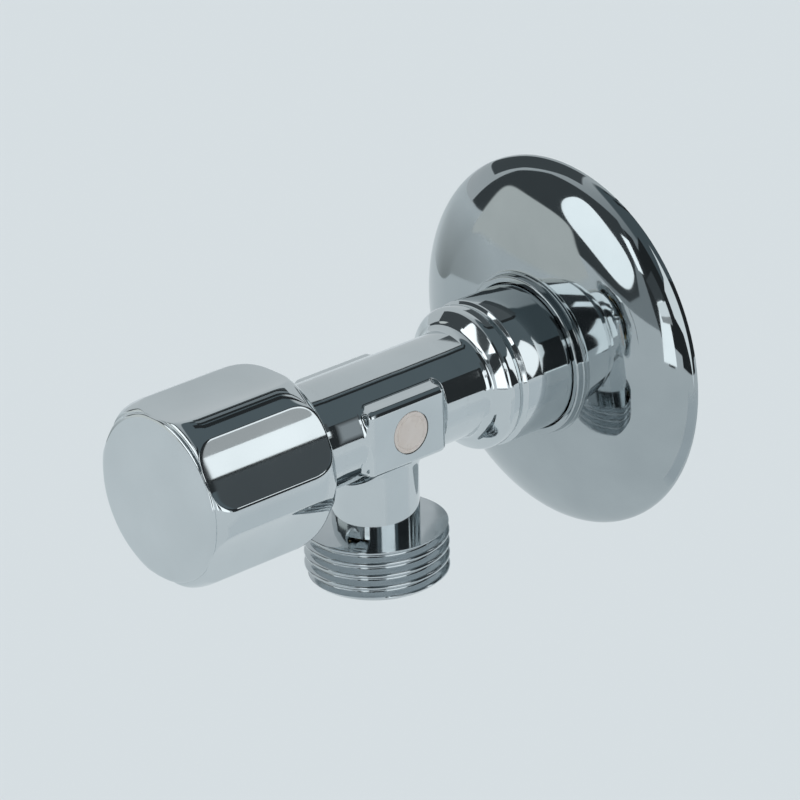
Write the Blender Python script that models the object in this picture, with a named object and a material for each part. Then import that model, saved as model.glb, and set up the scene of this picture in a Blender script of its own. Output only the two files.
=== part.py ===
"""Angle stop valve, modelled piece by piece as it comes apart on a bench.

The origin is where the finished wall meets the inlet's axis. +Y points into the wall, so the
valve stands out along -Y, and +Z is up, so the outlet points down along -Z.

Turned pieces are drawn as closed outlines of (height, radius). On the stem's axis, height is
the distance out from the wall. On the outlet's axis, it is the distance below the stem's axis.
"""

import math

import bmesh
import bpy

MM = 0.001

# Gap left between pieces that touch on the real valve.
GAP = 0.3 * MM

# Small chamfer on turned corners, and the distance cutters and joined blocks reach past a face.
CHAMFER = 0.3 * MM
PAST = 1.0 * MM

# G 1/2 pipe thread, on the inlet and on the outlet (ISO 228-1).
PIPE_MAJOR_R = 10.478 * MM
PIPE_MINOR_R = 9.316 * MM
PIPE_PITCH = 1.814 * MM
PIPE_CHAMFER_R = 9.6 * MM

# Body: distances out from the wall.
INLET_END = -12.0 * MM
INLET_THREAD_END = 0.6 * MM
SLEEVE_START = 2.2 * MM
SLEEVE_END = 16.9 * MM
SLEEVE_R = 10.9 * MM
BEAD_START = 17.9 * MM
BEAD_R = 10.68 * MM
BEAD_END = 20.4 * MM
BEAD_FRONT_R = 1.4 * MM
GROOVE_DEPTH = 0.45 * MM
RELIEF_R = 9.0 * MM
FILLET_R = 2.17 * MM
TUBE_START = 23.0 * MM
TUBE_R = 7.9 * MM
TUBE_END = 54.4 * MM

# Water way inside the body.
INLET_BORE_R = 7.4 * MM
INLET_BORE_END = 15.0 * MM
SEAT_CHANNEL_START = 18.0 * MM
SEAT_CHANNEL_R = 3.5 * MM
SEAT_FLOOR = 28.5 * MM
SEAT_TOP = 29.8 * MM
SEAT_LIP_R = 5.0 * MM
CHAMBER_R = 6.0 * MM
BONNET_START = 44.0 * MM
BONNET_R = 6.5 * MM

# Outlet branch: distances below the stem's axis.
OUTLET_FROM_WALL = 36.9 * MM
OUTLET_NECK_R = 6.35 * MM
OUTLET_THREAD_START = 16.7 * MM
OUTLET_END = 24.6 * MM
OUTLET_BORE_R = 4.3 * MM
OUTLET_MOUTH_R = 6.5 * MM
OUTLET_MOUTH_START = 17.0 * MM

# Spanner pads on the two sides of the tube, and the round badge let into one of them.
PAD_START = 30.3 * MM
PAD_END = 44.7 * MM
PAD_HALF_WIDTH = 8.5 * MM
PAD_HALF_HEIGHT = 5.15 * MM
PAD_ROUNDING = 1.2 * MM
BADGE_R = 3.1 * MM
BADGE_DEPTH = 0.7 * MM
BADGE_FROM_WALL = 37.2 * MM

# Sliding wall flange.
FLANGE_R = 28.0 * MM
FLANGE_WALL = 0.8 * MM
FLANGE_CROWN_R = 100.0 * MM
FLANGE_ROUNDING_START_R = 19.0 * MM
FLANGE_ROUNDING_RISE = 3.4 * MM
FLANGE_RIM_EDGE = 0.2 * MM
FLANGE_RIM_FLAT = 1.0 * MM
FLANGE_LIP_FILLET = 0.6 * MM
FLANGE_LIP_TOP = 8.3 * MM
FLANGE_LIP_R = 12.0 * MM
FLANGE_BORE_R = SLEEVE_R + GAP
FLANGE_NECK_R = 13.2 * MM
FLANGE_NECK_END = 4.2 * MM
FLANGE_GROOVE_R = 12.4 * MM
FLANGE_GROOVE_START = 5.0 * MM
FLANGE_GROOVE_END = 7.0 * MM

# Headwork: the brass housing screwed into the body.
HOUSING_START = 44.4 * MM
HOUSING_SKIRT_R = 6.2 * MM
HOUSING_BORE_R = 5.0 * MM
HOUSING_FLAT = 4.2 * MM
KEYED_BORE_START = 51.1 * MM
HEX_START = 55.6 * MM
HEX_END = 58.8 * MM
HEX_ACROSS_FLATS = 15.0 * MM
SHOULDER_R = 6.4 * MM
SHOULDER_END = 61.2 * MM
HOUSING_NECK_R = 5.2 * MM
HOUSING_END = 65.0 * MM
LEDGE = 60.2 * MM
NECK_BORE_R = 3.3 * MM
GASKET_START = 54.7 * MM
GASKET_END = 55.3 * MM

# Spindle. Its left-hand screw draws the plunger out as the knob turns anticlockwise.
SPINDLE_START = 43.0 * MM
SPINDLE_SCREW_R = 2.7 * MM
SPINDLE_ROOT_R = 2.2 * MM
SPINDLE_LEAD = 1.5 * MM
COLLAR_START = 58.2 * MM
COLLAR_END = 59.2 * MM
COLLAR_R = 4.0 * MM
SHAFT_R = 3.0 * MM
STEM_RING_GROOVES = (60.9 * MM, 63.0 * MM)
STEM_RING_GROOVE_WIDTH = 1.2 * MM
STEM_RING_GROOVE_R = 2.05 * MM
CIRCLIP_GROOVE_START = 65.15 * MM
CIRCLIP_GROOVE_END = 66.05 * MM
CIRCLIP_GROOVE_R = 2.3 * MM
CIRCLIP_R = 4.4 * MM
CIRCLIP_MOUTH = 70.0
SPLINE_START = 66.4 * MM
SPINDLE_END = 72.2 * MM
SPLINE_TEETH = 20
SPLINE_TIP_R = 3.0 * MM
SPLINE_ROOT_R = 2.6 * MM

# Plunger and its washer, in the closed position.
WASHER_R = 4.8 * MM
WASHER_START = SEAT_TOP + GAP
WASHER_END = 32.3 * MM
PLATE_R = 3.0 * MM
PLATE_START = 29.2 * MM
SCREW_HEAD_R = 2.2 * MM
SCREW_HEAD_START = 27.6 * MM
SCREW_HEAD_END = 28.9 * MM
SCREW_R = 1.2 * MM
SCREW_END = 36.5 * MM
SCREW_SLOT_WIDTH = 0.7 * MM
SCREW_SLOT_DEPTH = 0.6 * MM
PLUNGER_START = WASHER_END + GAP
PLUNGER_CUP_START = 31.0 * MM
PLUNGER_CUP_R = 5.6 * MM
PLUNGER_CUP_END = 34.2 * MM
PLUNGER_R = 4.7 * MM
PLUNGER_FLAT = 3.9 * MM
PLUNGER_BORE_R = 3.0 * MM
PLUNGER_BORE_START = 38.2 * MM
PLUNGER_GROOVE_START = 44.6 * MM
PLUNGER_GROOVE_END = 45.9 * MM
PLUNGER_GROOVE_R = 3.85 * MM
PLUNGER_KEY_START = 46.6 * MM
PLUNGER_END = 53.7 * MM

# Control knob: a fluted shell with a closed front.
KNOB_START = 54.0 * MM
KNOB_END = 76.0 * MM
KNOB_LAND_R = 13.6 * MM
KNOB_LAND_START = 59.0 * MM
KNOB_LAND_END = 72.5 * MM
KNOB_REAR_R = 11.6 * MM
KNOB_FACE_R = 12.2 * MM
KNOB_EDGE = 0.4 * MM
KNOB_CAVITY_R = 9.8 * MM
KNOB_CAVITY_END = 63.5 * MM
KNOB_BORE_R = 7.1 * MM
KNOB_BORE_END = 73.0 * MM
FLUTES = 6
FLUTE_FIRST = math.radians(30.5)
FLUTE_R = 21.6 * MM
FLUTE_BOTTOM_R = 12.0 * MM
INSERT_START = 66.8 * MM
INSERT_END = 72.6 * MM
INSERT_R = 6.8 * MM
GRUB_FROM_WALL = 68.5 * MM
GRUB_ANGLE = FLUTE_FIRST - math.radians(120)
GRUB_R = 1.4 * MM
GRUB_TIP = INSERT_R + GAP
GRUB_HEAD = 11.6 * MM
GRUB_KEY = 1.5 * MM

# Strainer in the mouth of the inlet.
STRAINER_START = -6.0 * MM
STRAINER_END = -2.0 * MM
STRAINER_R = 7.1 * MM
STRAINER_SEAT_R = 6.5 * MM
STRAINER_LIP_R = 5.4 * MM
STRAINER_LIP_START = -3.2 * MM
SIEVE_R = 6.2 * MM
SIEVE_THICKNESS = 0.4 * MM
SIEVE_HOLE_R = 0.7 * MM
SIEVE_SPACING = 2.1 * MM

# Facets round each piece.
KNOB_FACETS = 48
FLANGE_FACETS = 36
ROUND = 24
SMALL = 16
THREAD_FACETS = 16
SCREW_FACETS = 10
RING_SIDES = 8
GRUB_FACETS = 12
SHARP_ANGLE = math.radians(32)


def clear_objects():
    for obj in list(bpy.data.objects):
        bpy.data.objects.remove(obj, do_unlink=True)


def material(name, colour, roughness, metallic):
    """Principled material with the piece's own colour, roughness and metallic value."""
    made = bpy.data.materials.new(name)
    made.use_nodes = True
    shader = made.node_tree.nodes["Principled BSDF"]
    shader.inputs["Base Color"].default_value = (*colour, 1.0)
    shader.inputs["Roughness"].default_value = roughness
    shader.inputs["Metallic"].default_value = metallic
    made.diffuse_color = (*colour, 1.0)
    return made


def chrome(name):
    return material(name + "_chrome", (0.78, 0.81, 0.83), 0.06, 1.0)


def brass(name):
    return material(name + "_brass", (0.72, 0.54, 0.27), 0.32, 1.0)


def steel(name):
    return material(name + "_steel", (0.62, 0.62, 0.63), 0.28, 1.0)


def rubber(name):
    return material(name + "_rubber", (0.02, 0.02, 0.022), 0.6, 0.0)


def plastic(name, colour):
    return material(name + "_plastic", colour, 0.4, 0.0)


def axis_empty(name, location, rotation):
    """Empty whose local Z is the axis that its pieces are turned on."""
    empty = bpy.data.objects.new(name, None)
    empty.location = location
    empty.rotation_euler = rotation
    bpy.context.collection.objects.link(empty)
    return empty


def place(name, bm, axis, finish=None):
    """Turn a bmesh into an object on its axis. Without a finish it is a cutter or a building block."""
    bmesh.ops.recalc_face_normals(bm, faces=bm.faces)
    if bm.calc_volume(signed=True) < 0:
        bmesh.ops.reverse_faces(bm, faces=bm.faces)
    mesh = bpy.data.meshes.new(name)
    bm.to_mesh(mesh)
    bm.free()
    mesh.shade_smooth()
    mesh.set_sharp_from_angle(angle=SHARP_ANGLE)
    obj = bpy.data.objects.new(name, mesh)
    obj.parent = axis
    bpy.context.collection.objects.link(obj)
    if finish is None:
        obj.hide_render = True
        obj.display_type = "WIRE"
    else:
        mesh.materials.append(finish)
    return obj


def boolean(target, tool, operation):
    modifier = target.modifiers.new(operation.lower() + "_" + tool.name, "BOOLEAN")
    modifier.operation = operation
    modifier.solver = "EXACT"
    modifier.object = tool


def arc(centre_height, centre_radius, radius, start, end, steps):
    """Points on an arc, by angle in degrees from the height direction towards the radius."""
    points = []
    for step in range(steps + 1):
        angle = math.radians(start + (end - start) * step / steps)
        points.append((centre_height + radius * math.cos(angle), centre_radius + radius * math.sin(angle)))
    return points


def radius_at(radius, angle):
    return radius(angle) if callable(radius) else radius


def skin(bm, ring, following, closed):
    """Faces between two neighbouring rings, either of which may be a single point on the axis."""
    count = max(len(ring), len(following))
    for index in range(count if closed else count - 1):
        corners = []
        for vert in (
            ring[index % len(ring)],
            ring[(index + 1) % len(ring)],
            following[(index + 1) % len(following)],
            following[index % len(following)],
        ):
            if vert not in corners:
                corners.append(vert)
        if len(corners) > 2:
            bm.faces.new(corners)


def turned(outline, segments, sweep=360.0):
    """Solid made by turning a closed (height, radius) outline about local Z.

    A radius can be a function of the angle, for a hexagon, a flat or a serration. A sweep of
    less than 360 degrees leaves the piece open, with flat ends.
    """
    bm = bmesh.new()
    closed = sweep == 360.0
    columns = segments if closed else segments + 1
    angles = [math.radians(sweep) * column / segments for column in range(columns)]
    rings = []
    for height, radius in outline:
        if radius == 0:
            rings.append([bm.verts.new((0, 0, height))])
            continue
        ring = []
        for angle in angles:
            reach = radius_at(radius, angle)
            ring.append(bm.verts.new((reach * math.cos(angle), reach * math.sin(angle), height)))
        rings.append(ring)
    for ring, following in zip(rings, rings[1:] + rings[:1]):
        skin(bm, ring, following, closed)
    if not closed:
        for end in (0, -1):
            bm.faces.new([ring[end] for ring in rings])
    return bm


def torus(height, major, minor, segments):
    outline = arc(height, major, minor, 0, 360 * (RING_SIDES - 1) / RING_SIDES, RING_SIDES - 1)
    return turned(outline, segments)


def hexagon(across_flats):
    """Radius of a hexagon, by angle."""

    def radius(angle):
        off_flat = (angle + math.radians(30)) % math.radians(60) - math.radians(30)
        return across_flats / 2 / math.cos(off_flat)

    return radius


def two_flats(radius, flat):
    """Radius of a round bar with two opposite flats, by angle."""

    def reach(angle):
        return min(radius, flat / max(abs(math.cos(angle)), 1e-6))

    return reach


def serration(tip, root, teeth):
    """Radius of a serrated bar sampled twice a tooth, by angle."""

    def radius(angle):
        half_steps = round(angle * teeth / math.pi)
        return tip if half_steps % 2 == 0 else root

    return radius


def threaded(major, minor, pitch, start, end, segments, hand=1, chamfer_start=None, chamfer_end=None):
    """Solid screw from start to end. Its rows of points follow the helix, four to a pitch."""
    bm = bmesh.new()
    rows_per_pitch = 4
    rows = math.ceil((end - start) / pitch * rows_per_pitch) + 2 * rows_per_pitch
    tolerance = 1e-9

    def reach(height, turn):
        phase = ((height - start) / pitch - turn) % 1.0
        crest_to_root = (0.25, 0.5, 0.75, 1.0)
        if phase <= crest_to_root[0]:
            radius = major
        elif phase <= crest_to_root[1]:
            radius = major + (minor - major) * (phase - 0.25) / 0.25
        elif phase <= crest_to_root[2]:
            radius = minor
        else:
            radius = minor + (major - minor) * (phase - 0.75) / 0.25
        if chamfer_start is not None:
            radius = min(radius, chamfer_start + height - start)
        if chamfer_end is not None:
            radius = min(radius, chamfer_end + end - height)
        return radius

    columns = []
    for column in range(segments):
        turn = column / segments
        angle = 2 * math.pi * turn * hand
        verts = []
        for row in range(rows + 1):
            height = start - pitch + pitch * (row / rows_per_pitch + turn)
            clamped = min(max(height, start), end)
            if clamped != height and verts and abs(verts[-1].co.z - clamped) < tolerance:
                verts.append(verts[-1])
                continue
            radius = reach(clamped, turn)
            verts.append(bm.verts.new((radius * math.cos(angle), radius * math.sin(angle), clamped)))
        first_free = next(i for i, vert in enumerate(verts) if vert.co.z > start + tolerance)
        for row in range(first_free):
            verts[row] = verts[0]
        columns.append(verts)
    for column, verts in enumerate(columns):
        last = column == segments - 1
        following = columns[0] if last else columns[column + 1]
        shift = rows_per_pitch if last else 0
        for row in range(rows):
            corners = []
            for vert in (
                verts[row],
                verts[row + 1],
                following[min(row + 1 + shift, rows)],
                following[min(row + shift, rows)],
            ):
                if vert not in corners:
                    corners.append(vert)
            if len(corners) > 2:
                bm.faces.new(corners)
    loose = [vert for vert in bm.verts if not vert.link_faces]
    bmesh.ops.delete(bm, geom=loose, context="VERTS")
    rims = [edge for edge in bm.edges if edge.is_boundary]
    bmesh.ops.holes_fill(bm, edges=rims, sides=0)
    return bm


def rounded_block(low, high, rounding):
    """Box between two corners, with its edges rounded over."""
    bm = bmesh.new()
    bmesh.ops.create_cube(bm, size=1.0)
    for vert in bm.verts:
        for side in range(3):
            vert.co[side] = low[side] if vert.co[side] < 0 else high[side]
    if rounding:
        bmesh.ops.bevel(bm, geom=bm.edges[:], offset=rounding, segments=3, profile=0.5, affect="EDGES")
    return bm


def make_body(stem, branch, badge_axis):
    """Cast and turned valve body, with its seat, spanner pads and two pipe threads."""
    outline = [(-PAST, 0), (-PAST, RELIEF_R), (SLEEVE_START - 2 * CHAMFER, RELIEF_R)]
    outline += [(SLEEVE_START, SLEEVE_R - 2 * CHAMFER), (SLEEVE_START + 2 * CHAMFER, SLEEVE_R)]
    outline += [(SLEEVE_END - CHAMFER, SLEEVE_R), (SLEEVE_END, SLEEVE_R - CHAMFER)]
    outline += [(SLEEVE_END + GROOVE_DEPTH, SLEEVE_R - CHAMFER - GROOVE_DEPTH)]
    outline += [(BEAD_START, BEAD_R - CHAMFER), (BEAD_START + CHAMFER, BEAD_R)]
    outline += arc(BEAD_END - BEAD_FRONT_R, BEAD_R - BEAD_FRONT_R, BEAD_FRONT_R, 90, 0, 3)
    fillet = arc(TUBE_START, TUBE_R + FILLET_R, FILLET_R, 215, 270, 3)
    outline += fillet
    outline += [(TUBE_END, TUBE_R), (TUBE_END, 0)]
    body = place("valve_body", turned(outline, ROUND), stem, chrome("valve_body"))

    pads = rounded_block(
        (-PAD_HALF_WIDTH, -PAD_HALF_HEIGHT, PAD_START),
        (PAD_HALF_WIDTH, PAD_HALF_HEIGHT, PAD_END),
        PAD_ROUNDING,
    )
    boolean(body, place("pads_block", pads, stem), "UNION")
    neck = [(2 * MM, 0), (2 * MM, OUTLET_NECK_R)]
    neck += [(OUTLET_MOUTH_START + PAST, OUTLET_NECK_R), (OUTLET_MOUTH_START + PAST, 0)]
    boolean(body, place("neck_block", turned(neck, ROUND), branch), "UNION")
    inlet = threaded(
        PIPE_MAJOR_R,
        PIPE_MINOR_R,
        PIPE_PITCH,
        INLET_END,
        INLET_THREAD_END,
        THREAD_FACETS,
        chamfer_start=PIPE_CHAMFER_R,
    )
    boolean(body, place("inlet_thread_block", inlet, stem), "UNION")
    outlet = threaded(
        PIPE_MAJOR_R,
        PIPE_MINOR_R,
        PIPE_PITCH,
        OUTLET_THREAD_START,
        OUTLET_END,
        THREAD_FACETS,
        chamfer_end=PIPE_CHAMFER_R,
    )
    boolean(body, place("outlet_thread_block", outlet, branch), "UNION")

    bore = [(INLET_END - PAST, 0), (INLET_END - PAST, INLET_BORE_R), (INLET_BORE_END, INLET_BORE_R)]
    bore += [(SEAT_CHANNEL_START, SEAT_CHANNEL_R), (SEAT_TOP, SEAT_CHANNEL_R)]
    bore += [(SEAT_TOP, SEAT_LIP_R), (SEAT_FLOOR, SEAT_LIP_R), (SEAT_FLOOR, CHAMBER_R)]
    bore += [(BONNET_START, CHAMBER_R), (BONNET_START, BONNET_R), (TUBE_END + PAST, BONNET_R)]
    bore += [(TUBE_END + PAST, 0)]
    outlet_bore = [(0.5 * MM, 0), (0.5 * MM, OUTLET_BORE_R), (OUTLET_MOUTH_START, OUTLET_BORE_R)]
    outlet_bore += [(OUTLET_MOUTH_START + 2 * MM, OUTLET_MOUTH_R), (OUTLET_END + PAST, OUTLET_MOUTH_R)]
    outlet_bore += [(OUTLET_END + PAST, 0)]
    boolean(body, place("outlet_bore_cutter", turned(outlet_bore, ROUND), branch), "DIFFERENCE")
    boolean(body, place("water_way_cutter", turned(bore, ROUND), stem), "DIFFERENCE")
    recess_r = BADGE_R + GAP
    floor = PAD_HALF_WIDTH - BADGE_DEPTH
    above = PAD_HALF_WIDTH + PAST
    recess = [(floor, 0), (floor, recess_r), (above, recess_r), (above, 0)]
    boolean(body, place("badge_recess_cutter", turned(recess, SMALL), badge_axis), "DIFFERENCE")

    badge = [(floor + GAP, 0), (floor + GAP, BADGE_R), (PAD_HALF_WIDTH - 0.1 * MM, BADGE_R)]
    badge += [(PAD_HALF_WIDTH, BADGE_R - 0.1 * MM), (PAD_HALF_WIDTH, 0)]
    place("side_badge", turned(badge, SMALL), badge_axis, plastic("side_badge", (0.72, 0.62, 0.56)))


def make_strainer(stem):
    """Plastic ring pressed into the inlet's mouth, holding a pierced steel sieve."""
    ring = [(STRAINER_START, STRAINER_R), (STRAINER_END, STRAINER_R), (STRAINER_END, STRAINER_LIP_R)]
    ring += [(STRAINER_LIP_START, STRAINER_LIP_R), (STRAINER_LIP_START, STRAINER_SEAT_R)]
    ring += [(STRAINER_START, STRAINER_SEAT_R)]
    blue_plastic = plastic("inlet_strainer_frame", (0.1, 0.2, 0.3))
    place("inlet_strainer_frame", turned(ring, ROUND), stem, blue_plastic)

    top = STRAINER_LIP_START - GAP
    bottom = top - SIEVE_THICKNESS
    disc = [(bottom, 0), (bottom, SIEVE_R), (top, SIEVE_R), (top, 0)]
    sieve = place("inlet_strainer_sieve", turned(disc, SMALL), stem, steel("inlet_strainer_sieve"))
    punches = bmesh.new()
    for row in range(-2, 3):
        holes = 5 - abs(row)
        for hole in range(holes):
            across = (hole - (holes - 1) / 2) * SIEVE_SPACING
            along = row * SIEVE_SPACING * math.sin(math.radians(60))
            made = bmesh.ops.create_cone(
                punches,
                cap_ends=True,
                segments=8,
                radius1=SIEVE_HOLE_R,
                radius2=SIEVE_HOLE_R,
                depth=4 * SIEVE_THICKNESS,
            )
            bmesh.ops.translate(punches, verts=made["verts"], vec=(across, along, (top + bottom) / 2))
    boolean(sieve, place("sieve_hole_cutters", punches, stem), "DIFFERENCE")


def dome_point(turn):
    """Point (height, radius) of the flange's skin: a shallow crown that rounds over to the rim.

    The turn is 0 where the rounding starts and 90 degrees at the rim, and is negative inside it.
    """
    reach = FLANGE_R - FLANGE_ROUNDING_START_R
    radius = FLANGE_ROUNDING_START_R + reach * (turn if turn < 0 else math.sin(turn))
    rise = FLANGE_ROUNDING_RISE + (FLANGE_R ** 2 - radius ** 2) / (2 * FLANGE_CROWN_R)
    return FLANGE_RIM_EDGE + rise * math.cos(max(turn, 0.0)), radius


def dome_outline(start_r, inset):
    """Flange's skin from a radius out to the rim, moved in by the inset."""
    reach = FLANGE_R - FLANGE_ROUNDING_START_R
    first = (start_r - FLANGE_ROUNDING_START_R) / reach
    turns = [first * (3 - step) / 3 for step in range(3)]
    turns += [math.radians(90) * step / 8 for step in range(9)]
    nudge = math.radians(0.2)
    points = []
    for turn in turns:
        height, radius = dome_point(turn)
        before = dome_point(turn - nudge)
        after = dome_point(turn + nudge)
        run = math.hypot(after[0] - before[0], after[1] - before[1])
        outward = ((after[1] - before[1]) / run, (before[0] - after[0]) / run)
        if turn == turns[-1]:
            outward = (0.0, 1.0)
        points.append((height - inset * outward[0], radius - inset * outward[1]))
    return points


def make_flange(stem):
    """Pressed wall flange that slides on the body's sleeve, and its friction ring."""
    outer = dome_outline(FLANGE_LIP_R + FLANGE_LIP_FILLET, 0.0)
    inner = dome_outline(FLANGE_NECK_R, FLANGE_WALL)
    wall_side = 0.0
    outline = [(FLANGE_LIP_TOP, FLANGE_BORE_R + 0.15 * MM), (FLANGE_LIP_TOP, FLANGE_LIP_R - 0.2 * MM)]
    outline += [(FLANGE_LIP_TOP - 0.2 * MM, FLANGE_LIP_R)]
    outline += [(outer[0][0] + FLANGE_LIP_FILLET / 2, FLANGE_LIP_R)]
    outline += outer
    outline += [(wall_side, FLANGE_R), (wall_side, FLANGE_R - FLANGE_RIM_FLAT)]
    outline += list(reversed(inner))[1:]
    outline += [(FLANGE_NECK_END, FLANGE_NECK_R), (FLANGE_NECK_END, FLANGE_BORE_R)]
    outline += [(FLANGE_GROOVE_START, FLANGE_BORE_R), (FLANGE_GROOVE_START, FLANGE_GROOVE_R)]
    outline += [(FLANGE_GROOVE_END, FLANGE_GROOVE_R), (FLANGE_GROOVE_END, FLANGE_BORE_R)]
    place("wall_flange", turned(outline, FLANGE_FACETS), stem, chrome("wall_flange"))

    minor = (FLANGE_GROOVE_R - SLEEVE_R) / 2 - GAP / 2
    major = (FLANGE_GROOVE_R + SLEEVE_R) / 2
    middle = (FLANGE_GROOVE_START + FLANGE_GROOVE_END) / 2
    ring = torus(middle, major, minor, ROUND)
    place("flange_friction_ring", ring, stem, rubber("flange_friction_ring"))


def make_headwork(stem):
    """Housing screwed into the body, its gasket and the thrust washer under its ledge."""
    keyed = two_flats(HOUSING_BORE_R, HOUSING_FLAT)
    hexed = hexagon(HEX_ACROSS_FLATS)
    outline = [(HOUSING_START, HOUSING_BORE_R), (HOUSING_START, HOUSING_SKIRT_R)]
    outline += [(HEX_START, HOUSING_SKIRT_R)]
    outline += [(HEX_START, hexed), (HEX_END, hexed), (HEX_END, SHOULDER_R), (SHOULDER_END, SHOULDER_R)]
    outline += [(SHOULDER_END, HOUSING_NECK_R), (HOUSING_END, HOUSING_NECK_R), (HOUSING_END, NECK_BORE_R)]
    outline += [(LEDGE, NECK_BORE_R), (LEDGE, keyed), (KEYED_BORE_START, keyed)]
    outline += [(KEYED_BORE_START, HOUSING_BORE_R + 0.05 * MM)]
    place("headwork_housing", turned(outline, ROUND), stem, brass("headwork_housing"))

    gasket = [(GASKET_START, BONNET_R + 0.1 * MM), (GASKET_START, TUBE_R - 0.1 * MM)]
    gasket += [(GASKET_END, TUBE_R - 0.1 * MM), (GASKET_END, BONNET_R + 0.1 * MM)]
    place("housing_gasket", turned(gasket, ROUND), stem, plastic("housing_gasket", (0.45, 0.12, 0.08)))

    low = COLLAR_END + 0.25 * MM
    high = LEDGE - 0.25 * MM
    washer = [(low, NECK_BORE_R), (low, COLLAR_R), (high, COLLAR_R), (high, NECK_BORE_R)]
    place("thrust_washer", turned(washer, ROUND), stem, plastic("thrust_washer", (0.85, 0.85, 0.82)))


def make_spindle(stem):
    """Spindle with its screw, collar, ring grooves and serrated end, and the rings on it."""
    outline = [(COLLAR_START - 0.5 * MM, 0), (COLLAR_START - 0.5 * MM, SPINDLE_ROOT_R - 0.1 * MM)]
    outline += [(COLLAR_START, SPINDLE_ROOT_R - 0.1 * MM), (COLLAR_START, COLLAR_R)]
    outline += [(COLLAR_END, COLLAR_R), (COLLAR_END, SHAFT_R)]
    for groove in STEM_RING_GROOVES:
        groove_end = groove + STEM_RING_GROOVE_WIDTH
        outline += [(groove, SHAFT_R), (groove, STEM_RING_GROOVE_R)]
        outline += [(groove_end, STEM_RING_GROOVE_R), (groove_end, SHAFT_R)]
    outline += [(CIRCLIP_GROOVE_START, SHAFT_R), (CIRCLIP_GROOVE_START, CIRCLIP_GROOVE_R)]
    outline += [(CIRCLIP_GROOVE_END, CIRCLIP_GROOVE_R), (CIRCLIP_GROOVE_END, SHAFT_R)]
    outline += [(SPLINE_START, SHAFT_R), (SPLINE_START + 0.6 * MM, SPLINE_ROOT_R - 0.2 * MM)]
    outline += [(SPLINE_START + 0.6 * MM, 0)]
    spindle = place("spindle", turned(outline, SMALL), stem, brass("spindle"))
    screw = threaded(
        SPINDLE_SCREW_R,
        SPINDLE_ROOT_R,
        SPINDLE_LEAD,
        SPINDLE_START,
        COLLAR_START + CHAMFER,
        SCREW_FACETS,
        hand=-1,
        chamfer_start=SPINDLE_ROOT_R,
    )
    boolean(spindle, place("spindle_screw_block", screw, stem), "UNION")
    teeth = serration(SPLINE_TIP_R, SPLINE_ROOT_R, SPLINE_TEETH)
    spline = [(SPLINE_START + 0.1 * MM, 0), (SPLINE_START + 0.1 * MM, teeth), (SPINDLE_END, teeth)]
    spline += [(SPINDLE_END, 0)]
    boolean(spindle, place("spline_block", turned(spline, 2 * SPLINE_TEETH), stem), "UNION")

    minor = 0.45 * MM
    major = (STEM_RING_GROOVE_R + NECK_BORE_R) / 2
    for name, groove in zip(("spindle_o_ring_inner", "spindle_o_ring_outer"), STEM_RING_GROOVES):
        middle = groove + STEM_RING_GROOVE_WIDTH / 2
        place(name, torus(middle, major, minor, SMALL), stem, rubber(name))

    low = CIRCLIP_GROOVE_START + 0.15 * MM
    high = CIRCLIP_GROOVE_END - 0.15 * MM
    inner = CIRCLIP_GROOVE_R + 0.2 * MM
    clip = [(low, inner), (low, CIRCLIP_R), (high, CIRCLIP_R), (high, inner)]
    place("circlip", turned(clip, SMALL, 360.0 - CIRCLIP_MOUTH), stem, steel("circlip"))


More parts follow.
